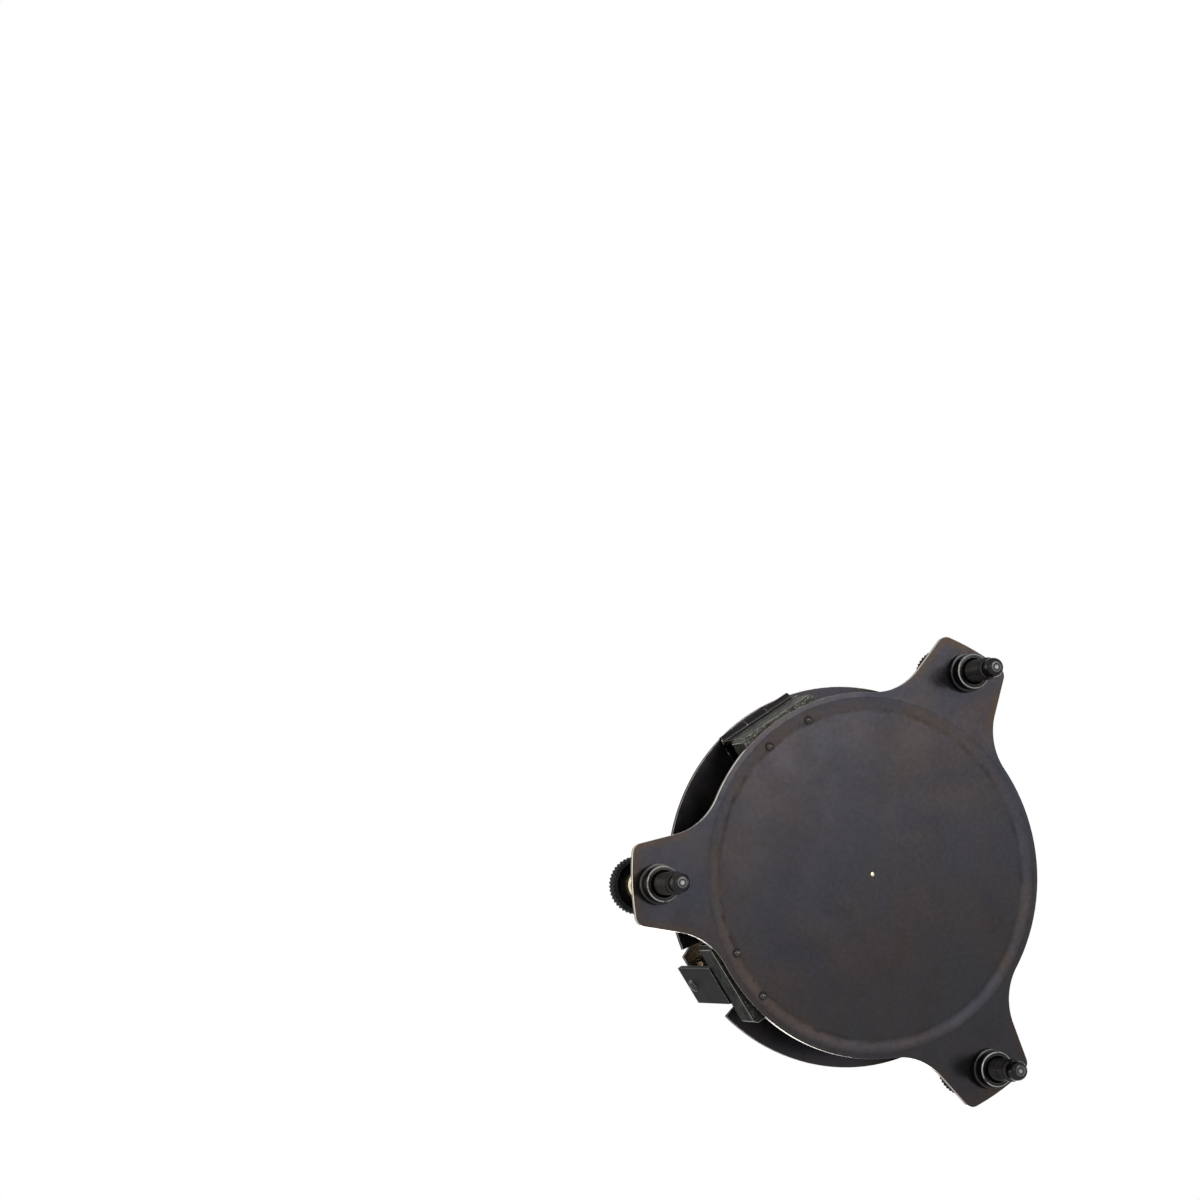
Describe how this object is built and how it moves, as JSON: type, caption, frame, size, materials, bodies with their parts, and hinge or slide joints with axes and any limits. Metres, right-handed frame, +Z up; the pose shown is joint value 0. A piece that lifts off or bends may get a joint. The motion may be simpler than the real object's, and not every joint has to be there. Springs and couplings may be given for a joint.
{
  "type": "sundial compass",
  "caption": "Brass compass with a folding equatorial hour ring, gnomon and latitude arc on levelling screws.",
  "frame": {"origin": "centre of the flat disc on the underside of the base plate", "axes": "+Z up through the dial, +Y towards the hour ring's hinge (north), +X towards the latitude arc (east)"},
  "size_m": [0.1476, 0.1412, 0.0636],
  "materials": {
    "plate_bronze": "satin",
    "dark_bronze": "satin",
    "knurl_black": "satin",
    "bright_brass": "polished",
    "cast_block": "cast",
    "screw_metal": "satin",
    "aged_brass": "satin",
    "card_face": "matt",
    "needle_steel": "blued",
    "clear_glass": "clear",
    "vial_glass": "clear"
  },
  "bodies": {
    "base": {"base_plate": "plate_bronze", "foot_bush_1": "dark_bronze", "foot_bush_2": "dark_bronze", "foot_bush_3": "dark_bronze", "hinge_block": "cast_block", "arc_block": "cast_block", "block_screws": "screw_metal", "compass_bowl": "dark_bronze", "compass_card": "card_face", "degree_ring": "aged_brass", "needle_pivot": "aged_brass", "compass_glass": "clear_glass", "bezel_ring": "aged_brass", "south_level_housing": "aged_brass", "south_level_vial": "vial_glass", "west_level_housing": "aged_brass", "west_level_vial": "vial_glass", "ring_hinge_base": "dark_bronze", "hinge_base_screws": "screw_metal", "ring_hinge_pin": "bright_brass", "arc_bracket": "dark_bronze", "bracket_screws": "screw_metal", "arc_hinge_base": "dark_bronze", "arc_rivet": "screw_metal", "arc_hinge_pin": "bright_brass"},
    "hour_ring_frame": {"hour_ring": "plate_bronze", "ring_hinge_leaf": "dark_bronze", "ring_rivets": "screw_metal", "gnomon_bar": "dark_bronze", "bar_rivets": "screw_metal", "gnomon_pin": "screw_metal"},
    "gnomon_rod": {"gnomon": "aged_brass"},
    "latitude_scale": {"latitude_arc": "plate_bronze", "arc_hinge_leaf": "dark_bronze", "arc_leaf_rivets": "screw_metal"},
    "needle": {"compass_needle": "needle_steel", "needle_cap": "bright_brass"},
    "foot_1": {"foot_tip_1": "dark_bronze"},
    "screw_1": {"levelling_screw_1": "dark_bronze", "screw_collar_1": "bright_brass", "knurled_head_1": "knurl_black"},
    "foot_2": {"foot_tip_2": "dark_bronze"},
    "screw_2": {"levelling_screw_2": "dark_bronze", "screw_collar_2": "bright_brass", "knurled_head_2": "knurl_black"},
    "foot_3": {"foot_tip_3": "dark_bronze"},
    "screw_3": {"levelling_screw_3": "dark_bronze", "screw_collar_3": "bright_brass", "knurled_head_3": "knurl_black"}
  },
  "joints": [
    {"name": "hour_ring_lift", "type": "hinge", "parent": "base", "child": "hour_ring_frame", "pos_m": [0, 0.058, 0.0182], "axis": [-1, 0, 0], "range_deg": [0, 90]},
    {"name": "gnomon_rise", "type": "hinge", "parent": "hour_ring_frame", "child": "gnomon_rod", "pos_m": [0, 0, 0.0246], "axis": [-1, 0, 0], "range_deg": [0, 90]},
    {"name": "latitude_arc_fold", "type": "hinge", "parent": "base", "child": "latitude_scale", "pos_m": [0.0552, -0.0035, 0.0375], "axis": [0, 1, 0], "range_deg": [0, 90]},
    {"name": "needle_swing", "type": "hinge", "parent": "base", "child": "needle", "pos_m": [0, 0, 0.0096], "axis": [0, 0, 1], "continuous": true},
    {"name": "foot_1_travel", "type": "slide", "parent": "base", "child": "foot_1", "axis": [0, 0, -1], "range_m": [-0.005, 0.005]},
    {"name": "screw_1_turn", "type": "hinge", "parent": "foot_1", "child": "screw_1", "pos_m": [0.06227, 0.03595, 0], "axis": [0, 0, -1], "range_deg": [-1800, 1800]},
    {"name": "foot_2_travel", "type": "slide", "parent": "base", "child": "foot_2", "axis": [0, 0, -1], "range_m": [-0.005, 0.005]},
    {"name": "screw_2_turn", "type": "hinge", "parent": "foot_2", "child": "screw_2", "pos_m": [-0.06227, 0.03595, 0], "axis": [0, 0, -1], "range_deg": [-1800, 1800]},
    {"name": "foot_3_travel", "type": "slide", "parent": "base", "child": "foot_3", "axis": [0, 0, -1], "range_m": [-0.005, 0.005]},
    {"name": "screw_3_turn", "type": "hinge", "parent": "foot_3", "child": "screw_3", "pos_m": [0, -0.0719, 0], "axis": [0, 0, -1], "range_deg": [-1800, 1800]}
  ],
  "couplings": [
    {"joint": "foot_1_travel", "follows": "screw_1_turn", "m_per_rad": 0.00015915},
    {"joint": "foot_2_travel", "follows": "screw_2_turn", "m_per_rad": 0.00015915},
    {"joint": "foot_3_travel", "follows": "screw_3_turn", "m_per_rad": 0.00015915}
  ]
}
